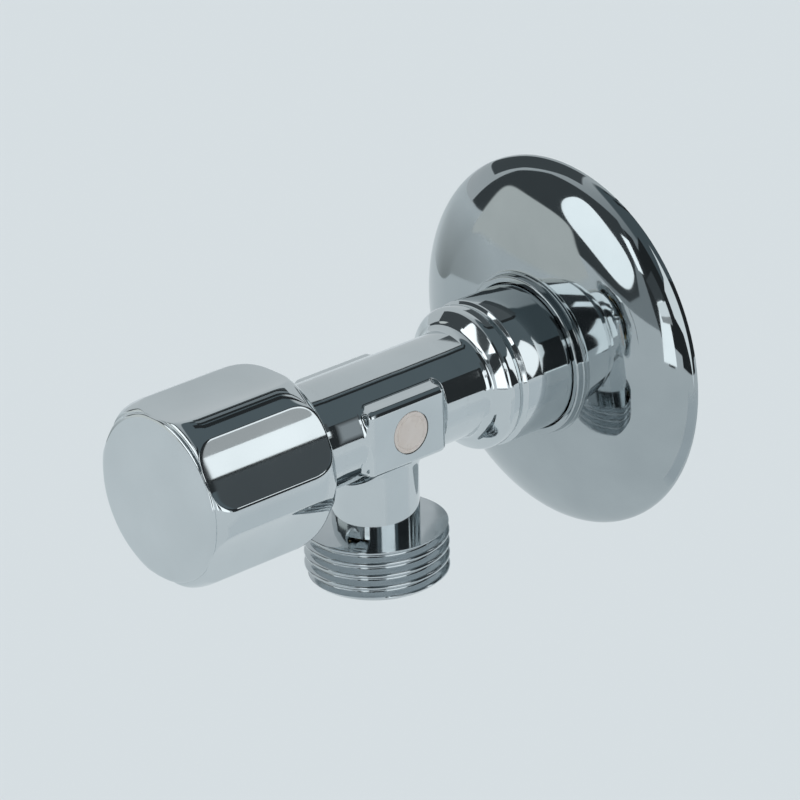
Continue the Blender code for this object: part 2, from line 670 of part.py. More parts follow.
def make_plunger(stem):
    """Sliding plunger with the washer that closes the seat, its plate, screw and ring."""
    keyed = two_flats(PLUNGER_R, PLUNGER_FLAT)
    hole_r = SCREW_R + GAP
    hole_end = SCREW_END + GAP
    outline = [(hole_end, 0), (hole_end, hole_r), (PLUNGER_START, hole_r)]
    outline += [(PLUNGER_START, WASHER_R + GAP), (PLUNGER_CUP_START, WASHER_R + GAP)]
    outline += [(PLUNGER_CUP_START, PLUNGER_CUP_R), (PLUNGER_CUP_END, PLUNGER_CUP_R)]
    outline += [(PLUNGER_CUP_END + 0.8 * MM, PLUNGER_R), (PLUNGER_GROOVE_START, PLUNGER_R)]
    outline += [(PLUNGER_GROOVE_START, PLUNGER_GROOVE_R), (PLUNGER_GROOVE_END, PLUNGER_GROOVE_R)]
    outline += [(PLUNGER_GROOVE_END, PLUNGER_R), (PLUNGER_KEY_START, PLUNGER_R + 0.01 * MM)]
    outline += [(PLUNGER_KEY_START, keyed), (PLUNGER_END, keyed), (PLUNGER_END, PLUNGER_BORE_R)]
    outline += [(PLUNGER_BORE_START, PLUNGER_BORE_R), (PLUNGER_BORE_START, 0)]
    place("plunger", turned(outline, ROUND), stem, brass("plunger"))

    minor = 0.4 * MM
    major = (PLUNGER_GROOVE_R + HOUSING_BORE_R) / 2
    middle = (PLUNGER_GROOVE_START + PLUNGER_GROOVE_END) / 2
    place("plunger_o_ring", torus(middle, major, minor, SMALL), stem, rubber("plunger_o_ring"))

    washer = [(WASHER_START, hole_r), (WASHER_START, WASHER_R), (WASHER_END, WASHER_R), (WASHER_END, hole_r)]
    place("valve_washer", turned(washer, ROUND), stem, rubber("valve_washer"))

    plate_end = WASHER_START - GAP
    plate = [(PLATE_START, hole_r), (PLATE_START, PLATE_R), (plate_end, PLATE_R), (plate_end, hole_r)]
    place("washer_plate", turned(plate, SMALL), stem, steel("washer_plate"))

    screw = [(SCREW_HEAD_START, 0), (SCREW_HEAD_START, SCREW_HEAD_R - CHAMFER)]
    screw += [(SCREW_HEAD_START + CHAMFER, SCREW_HEAD_R), (SCREW_HEAD_END, SCREW_HEAD_R)]
    screw += [(SCREW_HEAD_END, SCREW_R), (SCREW_END - CHAMFER, SCREW_R)]
    screw += [(SCREW_END, SCREW_R - CHAMFER), (SCREW_END, 0)]
    washer_screw = place("washer_screw", turned(screw, SMALL), stem, steel("washer_screw"))
    slot = rounded_block(
        (-2 * SCREW_HEAD_R, -SCREW_SLOT_WIDTH / 2, SCREW_HEAD_START - PAST),
        (2 * SCREW_HEAD_R, SCREW_SLOT_WIDTH / 2, SCREW_HEAD_START + SCREW_SLOT_DEPTH),
        0,
    )
    boolean(washer_screw, place("screw_slot_cutter", slot, stem), "DIFFERENCE")


def knob_land(height):
    """Radius of the knob's lands, with an elliptical shoulder at each end."""
    if height < KNOB_LAND_START:
        depth, drop = KNOB_LAND_START - KNOB_START, KNOB_LAND_R - KNOB_REAR_R
        along = (KNOB_LAND_START - height) / depth
    elif height > KNOB_LAND_END:
        depth, drop = KNOB_END - KNOB_LAND_END, KNOB_LAND_R - KNOB_FACE_R
        along = (height - KNOB_LAND_END) / depth
    else:
        return KNOB_LAND_R
    return KNOB_LAND_R - drop * (1 - math.sqrt(max(0.0, 1 - along * along)))


def flute_reach(angle):
    """Distance from the axis to the shallow flute that faces this angle."""
    spacing = 2 * math.pi / FLUTES
    off_centre = (angle - FLUTE_FIRST + spacing / 2) % spacing - spacing / 2
    centre = FLUTE_R + FLUTE_BOTTOM_R
    return centre * math.cos(off_centre) - math.sqrt(FLUTE_R ** 2 - (centre * math.sin(off_centre)) ** 2)


def knob_surface(height):
    """Radius of the fluted knob at a height, by angle."""
    land = knob_land(height)

    def radius(angle):
        return min(land, flute_reach(angle))

    return radius


def make_knob(stem, grub_axis):
    """Fluted chrome knob, the serrated insert that grips the spindle, and its grub screw."""
    rear = [0.0, 0.02, 0.1, 0.28, 0.6, 1.0]
    front = [0.0, 0.45, 0.75, 0.9]
    heights = [KNOB_START + part * (KNOB_LAND_START - KNOB_START) for part in rear]
    heights += [KNOB_LAND_END + part * (KNOB_END - KNOB_LAND_END) for part in front]
    outline = [(height, knob_surface(height)) for height in heights]
    outline += [(KNOB_END - KNOB_EDGE / 3, KNOB_FACE_R - KNOB_EDGE)]
    outline += [(KNOB_END, KNOB_FACE_R - 2 * KNOB_EDGE)]
    outline += [(KNOB_END, 0), (KNOB_BORE_END, 0), (KNOB_BORE_END, KNOB_BORE_R)]
    outline += [(KNOB_CAVITY_END, KNOB_BORE_R), (KNOB_CAVITY_END, KNOB_CAVITY_R)]
    outline += [(KNOB_START, KNOB_CAVITY_R)]
    knob = place("control_knob", turned(outline, KNOB_FACETS), stem, chrome("control_knob"))
    hole_r = GRUB_R + GAP / 2
    inside = KNOB_BORE_R - PAST
    outside = KNOB_LAND_R + PAST
    hole = [(inside, 0), (inside, hole_r), (outside, hole_r), (outside, 0)]
    boolean(knob, place("grub_hole_cutter", turned(hole, GRUB_FACETS), grub_axis), "DIFFERENCE")

    grip = serration(SPLINE_TIP_R + GAP, SPLINE_ROOT_R + GAP, SPLINE_TEETH)
    insert = [(INSERT_START, grip), (INSERT_START, INSERT_R), (INSERT_END, INSERT_R), (INSERT_END, grip)]
    finish = plastic("knob_insert", (0.8, 0.8, 0.78))
    place("knob_insert", turned(insert, 2 * SPLINE_TEETH), stem, finish)

    key = hexagon(GRUB_KEY)
    socket = GRUB_HEAD - GRUB_KEY
    grub = [(GRUB_TIP, 0), (GRUB_TIP, GRUB_R - CHAMFER), (GRUB_TIP + CHAMFER, GRUB_R)]
    grub += [(GRUB_HEAD, GRUB_R), (GRUB_HEAD, key), (socket, key), (socket, 0)]
    place("knob_grub_screw", turned(grub, GRUB_FACETS), grub_axis, steel("knob_grub_screw"))


def main():
    clear_objects()
    quarter = math.pi / 2
    stem = axis_empty("stem_axis", (0, 0, 0), (quarter, 0, 0))
    # The branch is turned a little so that its facets don't line up with the stem's.
    branch = axis_empty("outlet_axis", (0, -OUTLET_FROM_WALL, 0), (math.pi, 0, math.radians(4)))
    badge_axis = axis_empty("badge_axis", (0, -BADGE_FROM_WALL, 0), (0, quarter, 0))
    flange_axis = axis_empty("flange_axis", (0, 0, 0), (quarter, 0, 0))
    plunger_axis = axis_empty("plunger_axis", (0, 0, 0), (quarter, 0, 0))
    knob_axis = axis_empty("knob_axis", (0, 0, 0), (quarter, 0, 0))
    grub_axis = axis_empty("grub_axis", (0, -GRUB_FROM_WALL, 0), (0, quarter - GRUB_ANGLE, 0))
    make_body(stem, branch, badge_axis)
    make_strainer(stem)
    make_flange(flange_axis)
    make_headwork(stem)
    make_spindle(knob_axis)
    make_plunger(plunger_axis)
    make_knob(knob_axis, grub_axis)


main()
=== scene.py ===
"""Looks of the angle stop valve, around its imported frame.

The frame's origin is where the wall meets the inlet's axis, and -Y points out from the wall.
Shapes here are in millimetres until shape_object turns them into metres. Heights of pieces on
the stem's axis are distances out from the wall, and those of pieces on the outlet's axis are
distances below the stem's axis.
"""

import math

import bmesh
import bpy
import numpy as np
from mathutils import Matrix, Vector


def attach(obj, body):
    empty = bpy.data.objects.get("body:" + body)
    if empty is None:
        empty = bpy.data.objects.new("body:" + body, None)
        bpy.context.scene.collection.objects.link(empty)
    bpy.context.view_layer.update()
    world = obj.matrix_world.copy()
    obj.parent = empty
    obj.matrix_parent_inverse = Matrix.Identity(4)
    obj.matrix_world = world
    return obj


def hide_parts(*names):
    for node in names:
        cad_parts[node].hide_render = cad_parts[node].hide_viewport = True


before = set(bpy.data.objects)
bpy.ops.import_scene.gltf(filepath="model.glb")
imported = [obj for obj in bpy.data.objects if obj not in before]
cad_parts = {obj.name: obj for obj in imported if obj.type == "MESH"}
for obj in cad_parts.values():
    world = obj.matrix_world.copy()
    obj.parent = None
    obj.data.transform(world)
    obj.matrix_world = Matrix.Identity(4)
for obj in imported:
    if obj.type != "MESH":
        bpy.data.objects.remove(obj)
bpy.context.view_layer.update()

MM = 0.001
TAU = 2 * math.pi

# G 1/2 pipe thread.
PIPE_MAJOR_R = 10.478
PIPE_MINOR_R = 9.316
PIPE_PITCH = 1.814

# Body, outside.
INLET_END, INLET_THREAD_END = -12.0, 0.6
SLEEVE_R = 10.9
BEAD_R = 10.68
TUBE_R = 7.9
TUBE_END = 54.4
OUTLET_FROM_WALL = 36.9
OUTLET_THREAD_START, OUTLET_END = 16.7, 24.6
NECK_R = 6.35
PAD_START, PAD_END = 30.3, 44.7
PAD_HALF_WIDTH, PAD_HALF_HEIGHT = 8.5, 5.15
BADGE_FROM_WALL, BADGE_R = 37.2, 3.1
BADGE_GAP = 0.12

# Body, inside.
INLET_BORE_R = 7.42
WATERWAY_R = 3.5
SEAT_FACE, SEAT_R = 29.8, 5.0
CHAMBER_START, CHAMBER_R = 28.5, 6.0
HOUSING_BORE_START, HOUSING_BORE_R = 44.0, 6.5
BRANCH_BORE_R = 4.3
OUTLET_BORE_R = 6.5

# Casting: the middle of the body, made as one skin over a distance field.
CASTING_START, CASTING_END, CASTING_BOTTOM = 25.6, 49.0, 18.0
CASTING_VOXEL = 0.28
PAD_ROUNDING = 1.1
PAD_FILLET, NECK_FILLET = 0.7, 1.3

# Wall flange.
FLANGE_R = 28.0
FLANGE_CROWN_R = 100.0
FLANGE_ROUNDING_START_R = 19.0
FLANGE_ROUNDING_RISE = 3.4
FLANGE_RIM_EDGE = 0.2
FLANGE_WALL = 0.8
FLANGE_LIP_TOP, FLANGE_LIP_R, FLANGE_BORE_R = 8.3, 12.0, 11.2
FLANGE_NECK_R, FLANGE_NECK_END = 13.2, 4.2
FLANGE_GROOVE = (5.0, 7.0, 12.4)

# Knob.
KNOB_START, KNOB_END = 54.0, 76.0
LAND_START, LAND_END = 59.0, 72.5
LAND_R, REAR_R, FACE_R = 13.6, 11.6, 12.2
FLUTE_FIRST = math.radians(30.5)
FLUTE_R, FLUTE_BOTTOM_R = 21.6, 12.0
FLUTES = 6
KNOB_EDGE = 0.45
GRUB_FROM_WALL, GRUB_HOLE_R = 68.5, 1.55
GRUB_ANGLE = math.radians(-89.5)

# Studio. Colours are linear.
VALVE_MIDDLE = Vector((0.0, -0.035, 0.0))
FLOOR_SIZE, FLOOR_HEIGHT = 25.0, -0.45
FLOOR_COLOUR = (0.679, 0.712, 0.728)
LAMP_STRENGTH, LAMP_SPREAD = 2.12, 2.2
WHITE = (0.93, 0.98, 1.0)
DARK = (0.8, 0.93, 1.0)
COOL = (0.88, 0.98, 1.04)


# ---------------------------------------------------------------- shapes

def on_stem(points):
    """From turned coordinates (across, up, out from the wall) to the frame."""
    return np.stack([points[:, 0], -points[:, 2], points[:, 1]], 1)


def on_branch(points):
    """From turned coordinates about the outlet's axis, height downwards, to the frame."""
    return np.stack([points[:, 0], -OUTLET_FROM_WALL - points[:, 1], -points[:, 2]], 1)


def on_pad(points):
    """From turned coordinates about the badge's axis, height outwards, to the frame."""
    return np.stack([points[:, 2], points[:, 0] - BADGE_FROM_WALL, points[:, 1]], 1)


def on_grub(points):
    """From turned coordinates about the grub screw's axis, height outwards, to the frame."""
    across, along, out = points.T
    c, s = math.cos(GRUB_ANGLE), math.sin(GRUB_ANGLE)
    return np.stack([out * c - across * s, along - GRUB_FROM_WALL, out * s + across * c], 1)


def shape_object(name, points, faces, body, replaces, finish, place=on_stem, sharp=32):
    """Mesh object from points in mm on its own axis, riding on a body in place of a CAD node."""
    mesh = bpy.data.meshes.new(name)
    mesh.from_pydata((place(np.asarray(points, float)) * MM).tolist(), [], faces)
    mesh.validate()
    bm = bmesh.new()
    bm.from_mesh(mesh)
    bmesh.ops.recalc_face_normals(bm, faces=bm.faces)
    if bm.calc_volume(signed=True) < 0:
        bmesh.ops.reverse_faces(bm, faces=bm.faces)
    bm.to_mesh(mesh)
    bm.free()
    mesh.shade_smooth()
    mesh.set_sharp_from_angle(angle=math.radians(sharp))
    obj = bpy.data.objects.new(name, mesh)
    bpy.context.collection.objects.link(obj)
    mesh.materials.append(finish)
    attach(obj, body)
    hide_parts(replaces)
    return obj


def carve(obj, name, outline, place):
    """Cut a turned shape, given in mm along its own axis, out of an object."""
    points, faces = turned(outline, 96)
    cut_mesh = bpy.data.meshes.new(name)
    cut_mesh.from_pydata((place(np.asarray(points)) * MM).tolist(), [], faces)
    fix = bmesh.new()
    fix.from_mesh(cut_mesh)
    bmesh.ops.recalc_face_normals(fix, faces=fix.faces)
    fix.to_mesh(cut_mesh)
    fix.free()
    cutter = bpy.data.objects.new(name, cut_mesh)
    bpy.context.collection.objects.link(cutter)
    modifier = obj.modifiers.new(name, "BOOLEAN")
    modifier.operation = "DIFFERENCE"
    modifier.solver = "EXACT"
    modifier.object = cutter
    graph = bpy.context.evaluated_depsgraph_get()
    cut = bpy.data.meshes.new_from_object(obj.evaluated_get(graph))
    obj.modifiers.clear()
    obj.data = cut
    bpy.data.objects.remove(cutter)


def arc(height, radius, size, start, end, steps):
    """Outline points on an arc, by angle in degrees from the height direction."""
    angles = np.radians(np.linspace(start, end, steps + 1))
    return [(height + size * math.cos(a), radius + size * math.sin(a)) for a in angles]


def rounded(corners, steps=4):
    """Closed outline whose corners, given as (height, radius, rounding), are rounded over."""
    outline = []
    count = len(corners)
    for index, (height, radius, rounding) in enumerate(corners):
        here = np.array([height, radius], float)
        if rounding == 0:
            outline.append(tuple(here))
            continue
        before = np.array(corners[index - 1][:2], float) - here
        after = np.array(corners[(index + 1) % count][:2], float) - here
        before /= np.linalg.norm(before)
        after /= np.linalg.norm(after)
        half = math.acos(float(np.clip(before @ after, -1, 1))) / 2
        reach = rounding / math.tan(half)
        bisector = (before + after) / np.linalg.norm(before + after)
        centre = here + bisector * rounding / math.sin(half)
        first = here + before * reach - centre
        last = here + after * reach - centre
        for step in range(steps + 1):
            mix = first * (1 - step / steps) + last * step / steps
            outline.append(tuple(centre + mix / np.linalg.norm(mix) * rounding))
    return outline


def turned(outline, segments):
    """Points and faces of a closed (height, radius) outline turned about the axis.

    A radius may be a function of the angle instead of a number.
    """
    points, rings, faces = [], [], []
    angles = np.arange(segments) * TAU / segments
    for height, radius in outline:
        start = len(points)
        if callable(radius):
            reach = radius(angles)
        elif radius == 0:
            points.append((0.0, 0.0, height))
            rings.append([start])
            continue
        else:
            reach = np.full(segments, radius)
        points += [(r * math.cos(a), r * math.sin(a), height) for r, a in zip(reach, angles)]
        rings.append(list(range(start, start + segments)))
    for ring, following in zip(rings, rings[1:] + rings[:1]):
        if len(ring) == 1 and len(following) == 1:
            continue
        for index in range(segments):
            nxt = (index + 1) % segments
            if len(ring) == 1:
                faces.append((ring[0], following[nxt], following[index]))
            elif len(following) == 1:
                faces.append((ring[index], ring[nxt], following[0]))
            else:
                faces.append((ring[index], ring[nxt], following[nxt], following[index]))
    return points, faces


def thread_radius(phase):
    """Whitworth form: 27.5 degree flanks with rounded crests and roots."""
    squareness = 1.35
    wave = np.tanh(squareness * np.cos(TAU * phase)) / math.tanh(squareness)
    return PIPE_MINOR_R + (PIPE_MAJOR_R - PIPE_MINOR_R) * (0.5 + 0.5 * wave)


def pipe_thread(start, end, bore, chamfer_start=None, chamfer_end=None, segments=144):
    """Threaded ring, outside helical and inside plain, with rows that follow the helix.

    The bore lists (height, radius) from the end back to the start. A chamfer is the radius
    that the thread is cut down to at that end.
    """
    per_pitch = 12
    rows = math.ceil((end - start) / PIPE_PITCH * per_pitch) + 2 * per_pitch

    points, columns, faces = [], [], []
    for column in range(segments):
        turn = column / segments
        angle = TAU * turn
        heights = start - PIPE_PITCH + PIPE_PITCH * (np.arange(rows + 1) / per_pitch + turn)
        clamped = np.clip(heights, start, end)
        radius = thread_radius((clamped - start) / PIPE_PITCH - turn)
        if chamfer_start is not None:
            radius = np.minimum(radius, chamfer_start + clamped - start)
        if chamfer_end is not None:
            radius = np.minimum(radius, chamfer_end + end - clamped)
        indices = []
        for row in range(rows + 1):
            if row and abs(clamped[row] - clamped[row - 1]) < 1e-9:
                indices.append(indices[-1])
                continue
            indices.append(len(points))
            r = radius[row]
            points.append((r * math.cos(angle), r * math.sin(angle), clamped[row]))
        columns.append(indices)
    for column, indices in enumerate(columns):
        last = column == segments - 1
        following = columns[0] if last else columns[column + 1]
        shift = per_pitch if last else 0
        for row in range(rows):
            corners = []
            for corner in (
                indices[row],
                indices[row + 1],
                following[min(row + 1 + shift, rows)],
                following[min(row + shift, rows)],
            ):
                if corner not in corners:
                    corners.append(corner)
            if len(corners) > 2:
                faces.append(tuple(corners))
    inner_rings = []
    for height, radius in bore:
        inner_rings.append([len(points) + column for column in range(segments)])
        for column in range(segments):
            angle = TAU * column / segments
            points.append((radius * math.cos(angle), radius * math.sin(angle), height))
    low = [indices[0] for indices in columns]
    high = [indices[-1] for indices in columns]
    rings = [high] + inner_rings + [low]
    for ring, following in zip(rings, rings[1:]):
        for column in range(segments):
            nxt = (column + 1) % segments
            faces.append((ring[column], ring[nxt], following[nxt], following[column]))
    return points, faces


def round_union(first, second, size):
    """Union of two distance fields with a fillet of the given size between them."""
    u = np.maximum(size - first, 0)
    v = np.maximum(size - second, 0)
    return np.maximum(size, np.minimum(first, second)) - np.sqrt(u * u + v * v)


def casting_field(points):
    """Distance to the tube, spanner pads and neck, blended as a casting is."""
    x, y, z = points[:, 0], points[:, 1], points[:, 2]
    out = -y
    tube = np.hypot(x, z) - TUBE_R
    middle = (PAD_START + PAD_END) / 2
    half = np.array([PAD_HALF_WIDTH, (PAD_END - PAD_START) / 2, PAD_HALF_HEIGHT]) - PAD_ROUNDING
    beyond = np.abs(np.stack([x, out - middle, z], 1)) - half
    outside = np.linalg.norm(np.maximum(beyond, 0), axis=1)
    pads = outside + np.minimum(beyond.max(axis=1), 0) - PAD_ROUNDING
    neck = np.maximum(np.hypot(x, out - OUTLET_FROM_WALL) - NECK_R, z)
    return round_union(round_union(tube, pads, PAD_FILLET), neck, NECK_FILLET)


def field_gradient(field, points, step=0.002):
    """Slope of a distance field, by differences."""
    grad = np.empty_like(points)
    for axis in range(3):
        offset = np.zeros(3)
        offset[axis] = step
        grad[:, axis] = (field(points + offset) - field(points - offset)) / (2 * step)
    return grad


def settle(field, points, rounds=6):
    """Move points onto the field's surface."""
    for _ in range(rounds):
        grad = field_gradient(field, points)
        length = np.maximum((grad ** 2).sum(1), 1e-6)
        points = points - (np.clip(field(points), -0.5, 0.5) / length)[:, None] * grad
    return points


# ---------------------------------------------------------------- materials

def new_material(name):
    """Material with its nodes, its links and its Principled shader."""
    made = bpy.data.materials.new(name)
    made.use_nodes = True
    return made, made.node_tree.nodes, made.node_tree.links, made.node_tree.nodes["Principled BSDF"]


def add_node(nodes, kind, **values):
    """New node with values for its sockets or its settings."""
    made = nodes.new(kind)
    for key, value in values.items():
        if key in made.inputs:
            made.inputs[key].default_value = value
        else:
            setattr(made, key, value)
    return made


def noise(nodes, links, scale, detail=3.0):
    """Noise fixed to the object, with its scale per metre."""
    coords = nodes.new("ShaderNodeTexCoord")
    made = add_node(nodes, "ShaderNodeTexNoise", Scale=scale, Detail=detail, Roughness=0.5)
    links.new(coords.outputs["Object"], made.inputs["Vector"])
    return made.outputs["Fac"]


def span(nodes, links, source, low, high, from_low=0.3, from_high=0.7):
    """Source stretched from one range to another, and clamped."""
    made = nodes.new("ShaderNodeMapRange")
    made.inputs["From Min"].default_value = from_low
    made.inputs["From Max"].default_value = from_high
    made.inputs["To Min"].default_value = low
    made.inputs["To Max"].default_value = high
    links.new(source, made.inputs["Value"])
    return made.outputs["Result"]


def tint(nodes, links, source, dark, light):
    """Colour between dark and light by the source."""
    ramp = nodes.new("ShaderNodeValToRGB")
    ramp.color_ramp.elements[0].color = (*dark, 1)
    ramp.color_ramp.elements[1].color = (*light, 1)
    ramp.color_ramp.elements[0].position = 0.3
    ramp.color_ramp.elements[1].position = 0.7
    links.new(source, ramp.inputs["Fac"])
    return ramp.outputs["Color"]


def bump(nodes, links, shader, source, strength, distance):
    made = add_node(nodes, "ShaderNodeBump", Strength=strength, Distance=distance)
    links.new(source, made.inputs["Height"])
    links.new(made.outputs["Normal"], shader.inputs["Normal"])


BRIGHT_CHROME = ((0.60, 0.64, 0.655), (0.65, 0.69, 0.705))
# The flange's chrome is darker than the bright chrome: painted shade, standing in for the valve's
# shadow on the floor that the flange mirrors.
FLANGE_CHROME_PAINTED_SHADE = ((0.42, 0.46, 0.475), (0.47, 0.51, 0.525))
THREAD_CHROME = ((0.48, 0.52, 0.54), (0.56, 0.60, 0.62))


def chrome(name, waviness=0.0, rough=(0.035, 0.06), shade=BRIGHT_CHROME):
    """Chrome plate: cool mirror with faint haze, and on castings a faint waviness."""
    made, nodes, links, shader = new_material(name)
    shader.inputs["Metallic"].default_value = 1.0
    haze = noise(nodes, links, 90.0, 4.0)
    links.new(tint(nodes, links, haze, *shade), shader.inputs["Base Color"])
    smear = noise(nodes, links, 260.0, 5.0)
    links.new(span(nodes, links, smear, *rough), shader.inputs["Roughness"])
    if waviness:
        bump(nodes, links, shader, noise(nodes, links, 160.0, 1.5), waviness, 0.0002)
    return made


def grained(name, dark, light, rough, scale, grain_strength, grain_depth):
    """Surface with mottled colour, uneven gloss and a fine grain."""
    made, nodes, links, shader = new_material(name)
    mottle = noise(nodes, links, scale)
    links.new(tint(nodes, links, mottle, dark, light), shader.inputs["Base Color"])
    smear = noise(nodes, links, 2 * scale)
    links.new(span(nodes, links, smear, *rough), shader.inputs["Roughness"])
    bump(nodes, links, shader, noise(nodes, links, 3 * scale), grain_strength, grain_depth)
    return made


def metal(name, dark, light, rough):
    """Bare machined metal."""
    made = grained(name, dark, light, rough, 600.0, 0.15, 0.00005)
    made.node_tree.nodes["Principled BSDF"].inputs["Metallic"].default_value = 1.0
    return made


def soft(name, dark, light, rough):
    """Rubber, plastic or fibre."""
    return grained(name, dark, light, rough, 500.0, 0.2, 0.00004)


MATERIALS = {
    # Darker flange chrome: painted shade.
    "flange": chrome("flange_chrome_painted_shade", shade=FLANGE_CHROME_PAINTED_SHADE),
    "knob": chrome("knob_chrome"),
    "turned": chrome("turned_chrome"),
    "cast": chrome("cast_chrome", waviness=0.10, rough=(0.04, 0.08)),
    "thread": chrome("thread_chrome", waviness=0.05, rough=(0.08, 0.14), shade=THREAD_CHROME),
    "brass": metal("brass", (0.60, 0.42, 0.17), (0.72, 0.53, 0.26), (0.25, 0.38)),
    "steel": metal("steel", (0.50, 0.50, 0.51), (0.62, 0.62, 0.63), (0.22, 0.34)),
    "rubber": soft("rubber", (0.012, 0.012, 0.013), (0.03, 0.03, 0.032), (0.5, 0.7)),
    "white_plastic": soft("white_plastic", (0.74, 0.74, 0.71), (0.82, 0.82, 0.80), (0.35, 0.5)),
    "strainer_plastic": soft(
        "strainer_plastic", (0.05, 0.12, 0.2), (0.08, 0.17, 0.27), (0.35, 0.5)),
    "fibre": soft("fibre", (0.10, 0.045, 0.035), (0.16, 0.075, 0.06), (0.6, 0.8)),
    "badge": soft("badge", (0.74, 0.65, 0.59), (0.80, 0.72, 0.67), (0.25, 0.4)),
}

CARRIED = {
    "headwork_housing": "brass",
    "housing_gasket": "fibre",
    "thrust_washer": "white_plastic",
    "spindle": "brass",
    "spindle_o_ring_inner": "rubber",
    "spindle_o_ring_outer": "rubber",
    "circlip": "steel",
    "plunger": "brass",
    "plunger_o_ring": "rubber",
    "valve_washer": "rubber",
    "washer_plate": "steel",
    "washer_screw": "steel",
    "knob_insert": "white_plastic",
    "knob_grub_screw": "steel",
    "inlet_strainer_frame": "strainer_plastic",
    "inlet_strainer_sieve": "steel",
    "flange_friction_ring": "rubber",
}


def dress_carried_nodes():
    """Materials for the CAD nodes that are kept as they are."""
    for node, finish in CARRIED.items():
        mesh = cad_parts[node].data
        mesh.materials.clear()
        mesh.materials.append(MATERIALS[finish])
        mesh.shade_smooth()
        mesh.set_sharp_from_angle(angle=math.radians(30))


# ---------------------------------------------------------------- pieces

def make_sleeve():
    """Turned sleeve and bead between the inlet thread and the tube."""
    outline = rounded([
        (0.5, 9.0, 0), (1.7, 9.0, 0.15), (2.3, 10.7, 0.3), (2.7, SLEEVE_R, 0.3),
        (16.9, SLEEVE_R, 0.25), (17.35, 10.25, 0.25), (17.9, 10.5, 0.2), (18.3, BEAD_R, 0.5),
        (19.9, BEAD_R, 1.1), (21.1, 9.0, 0.5), (21.7, TUBE_R, 1.6), (26.0, TUBE_R, 0),
    ], steps=8)
    outline += [(26.0, WATERWAY_R), (18.0, WATERWAY_R), (15.0, 7.4), (0.5, 7.4)]
    points, faces = turned(outline, 192)
    shape_object("sleeve", points, faces, "valve", "valve_body", MATERIALS["turned"])


def make_tube_end():
    """Last stretch of the tube, with its turned rim round the housing."""
    start, bore = 48.5, HOUSING_BORE_R
    outline = rounded([
        (start, TUBE_R, 0), (TUBE_END, TUBE_R, 0.3), (TUBE_END, bore, 0.1), (start, bore, 0)])
    points, faces = turned(outline, 160)
    shape_object("tube_end", points, faces, "valve", "valve_body", MATERIALS["turned"])


def make_threads():
    """Threads of the inlet and the outlet, each with the bore inside it."""
    bore = [(INLET_THREAD_END, INLET_BORE_R), (INLET_END, INLET_BORE_R)]
    points, faces = pipe_thread(INLET_END, INLET_THREAD_END, bore, chamfer_start=9.6)
    shape_object(
        "inlet_thread", points, faces, "valve", "valve_body", MATERIALS["thread"],
        sharp=50)
    bore = [
        (OUTLET_END, OUTLET_BORE_R), (19.0, OUTLET_BORE_R), (17.0, 4.32),
        (OUTLET_THREAD_START, 4.32)]
    points, faces = pipe_thread(OUTLET_THREAD_START, OUTLET_END, bore, chamfer_end=9.7)
    shape_object(
        "outlet_thread", points, faces, "valve", "valve_body", MATERIALS["thread"],
        on_branch, sharp=50)


def casting_blank():
    """Tube, pads and neck as plain solids in mm, overlapping, for the remesher to join."""
    blank = bmesh.new()

    def cylinder(radius, length):
        return bmesh.ops.create_cone(
            blank, cap_ends=True, segments=96, radius1=radius, radius2=radius, depth=length)

    def put(made, turn, middle):
        matrix = Matrix.Translation(middle) @ turn
        bmesh.ops.transform(blank, matrix=matrix, verts=made["verts"])

    middle = (0, -(CASTING_START + CASTING_END) / 2, 0)
    put(cylinder(TUBE_R, CASTING_END - CASTING_START), Matrix.Rotation(math.pi / 2, 4, "X"), middle)
    size = (2 * PAD_HALF_WIDTH, PAD_END - PAD_START, 2 * PAD_HALF_HEIGHT, 1)
    middle = (0, -(PAD_START + PAD_END) / 2, 0)
    put(bmesh.ops.create_cube(blank, size=1.0), Matrix.Diagonal(size), middle)
    middle = (0, -OUTLET_FROM_WALL, -CASTING_BOTTOM / 2)
    put(cylinder(NECK_R, CASTING_BOTTOM), Matrix.Identity(4), middle)
    mesh = bpy.data.meshes.new("casting")
    blank.to_mesh(mesh)
    blank.free()
    return mesh


def mesh_points(mesh):
    points = np.empty(len(mesh.vertices) * 3)
    mesh.vertices.foreach_get("co", points)
    return points.reshape(-1, 3)


def shade_by_field(mesh, field):
    """Normals from the field's slope on its skin, and from the faces where bores are cut."""
    points = mesh_points(mesh) / MM
    slope = field_gradient(field, points)
    slope /= np.linalg.norm(slope, axis=1)[:, None] + 1e-12
    on_skin = np.abs(field(points)) < 0.02
    loops = np.empty(len(mesh.loops), int)
    mesh.loops.foreach_get("vertex_index", loops)
    face_normals = np.array([polygon.normal for polygon in mesh.polygons])
    loop_counts = [polygon.loop_total for polygon in mesh.polygons]
    flat = face_normals[np.repeat(np.arange(len(mesh.polygons)), loop_counts)]
    curved = slope[loops]
    use = on_skin[loops] & ((flat * curved).sum(1) > 0.7)
    mesh.normals_split_custom_set(np.where(use[:, None], curved, flat).tolist())


